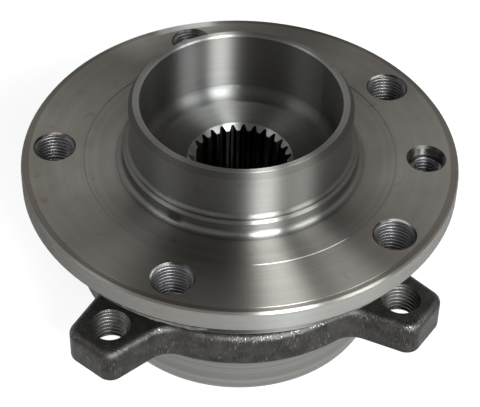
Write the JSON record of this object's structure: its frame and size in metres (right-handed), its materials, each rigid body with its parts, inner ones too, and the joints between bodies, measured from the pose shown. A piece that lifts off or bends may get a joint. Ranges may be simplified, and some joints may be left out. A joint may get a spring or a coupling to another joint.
{
  "type": "driven wheel hub bearing",
  "caption": "Double row ball bearing wheel hub: round wheel flange with a tall pilot and splined bore, turning in a fixed outer ring whose eared flange bolts to the knuckle.",
  "frame": {"origin": "centre of the wheel bolt circle on the wheel mounting face, on the spin axis", "axes": "+Z along the spin axis, outboard towards the wheel; X and Y along the sides of the knuckle bolt rectangle"},
  "size_m": [0.1316, 0.1316, 0.0826],
  "materials": {
    "machined_hub_steel": "turned, satin, lightly stained",
    "forged_ring_steel": "as forged and blasted on the flange, turned on the spigot",
    "ground_bearing_steel": "ground",
    "ball_steel": "polished",
    "cage_polyamide": "moulded, dark",
    "pressed_case_steel": "pressed sheet",
    "slinger_steel": "bright pressed sheet",
    "seal_rubber": "moulded",
    "encoder_rubber": "moulded, fine"
  },
  "bodies": {
    "outer_ring_unit": {"outer_ring": "forged_ring_steel", "outboard_seal_case": "pressed_case_steel", "outboard_seal_lip": "seal_rubber", "inboard_seal_case": "pressed_case_steel", "inboard_seal_lip": "seal_rubber"},
    "hub_unit": {"wheel_hub": "machined_hub_steel", "inner_ring": "ground_bearing_steel", "inboard_slinger": "slinger_steel", "encoder_ring": "encoder_rubber"},
    "outboard_row": {"outboard_cage": "cage_polyamide", "outboard_ball_01": "ball_steel", "outboard_ball_02": "ball_steel", "outboard_ball_03": "ball_steel", "outboard_ball_04": "ball_steel", "outboard_ball_05": "ball_steel", "outboard_ball_06": "ball_steel", "outboard_ball_07": "ball_steel", "outboard_ball_08": "ball_steel", "outboard_ball_09": "ball_steel", "outboard_ball_10": "ball_steel", "outboard_ball_11": "ball_steel", "outboard_ball_12": "ball_steel", "outboard_ball_13": "ball_steel", "outboard_ball_14": "ball_steel"},
    "inboard_row": {"inboard_cage": "cage_polyamide", "inboard_ball_01": "ball_steel", "inboard_ball_02": "ball_steel", "inboard_ball_03": "ball_steel", "inboard_ball_04": "ball_steel", "inboard_ball_05": "ball_steel", "inboard_ball_06": "ball_steel", "inboard_ball_07": "ball_steel", "inboard_ball_08": "ball_steel", "inboard_ball_09": "ball_steel", "inboard_ball_10": "ball_steel", "inboard_ball_11": "ball_steel", "inboard_ball_12": "ball_steel", "inboard_ball_13": "ball_steel", "inboard_ball_14": "ball_steel"}
  },
  "joints": [
    {"name": "hub_spin", "type": "hinge", "parent": "outer_ring_unit", "child": "hub_unit", "pos_m": [0, 0, -0.03625], "axis": [0, 0, 1], "continuous": true},
    {"name": "outboard_row_spin", "type": "hinge", "parent": "outer_ring_unit", "child": "outboard_row", "pos_m": [0, 0, -0.027], "axis": [0, 0, 1], "continuous": true},
    {"name": "inboard_row_spin", "type": "hinge", "parent": "outer_ring_unit", "child": "inboard_row", "pos_m": [0, 0, -0.0455], "axis": [0, 0, 1], "continuous": true}
  ],
  "couplings": [
    {"joint": "outboard_row_spin", "follows": "hub_spin", "ratio": 0.4263},
    {"joint": "inboard_row_spin", "follows": "hub_spin", "ratio": 0.4263}
  ]
}
